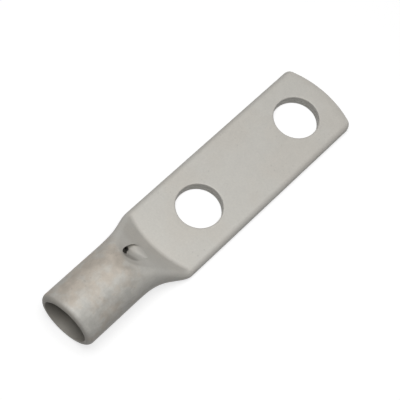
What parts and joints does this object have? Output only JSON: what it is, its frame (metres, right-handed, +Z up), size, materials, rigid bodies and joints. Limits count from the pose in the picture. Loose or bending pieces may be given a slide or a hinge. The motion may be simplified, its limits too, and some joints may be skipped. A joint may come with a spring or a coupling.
{
  "type": "cable lug",
  "caption": "Tubular compression lug with a round barrel for a stranded cable, a flattened palm that bolts to a busbar, and a sight hole.",
  "frame": {"origin": "midway between the two bolt holes, on the palm's flat underside", "axes": "+X along the lug from the barrel to the palm's tip, +Z up out of the palm's top face"},
  "size_m": [0.1023, 0.0244, 0.017],
  "materials": {
    "tinned_copper": "matte tin plate over copper"
  },
  "bodies": {
    "root": {"lug": "tinned_copper"}
  },
  "joints": []
}
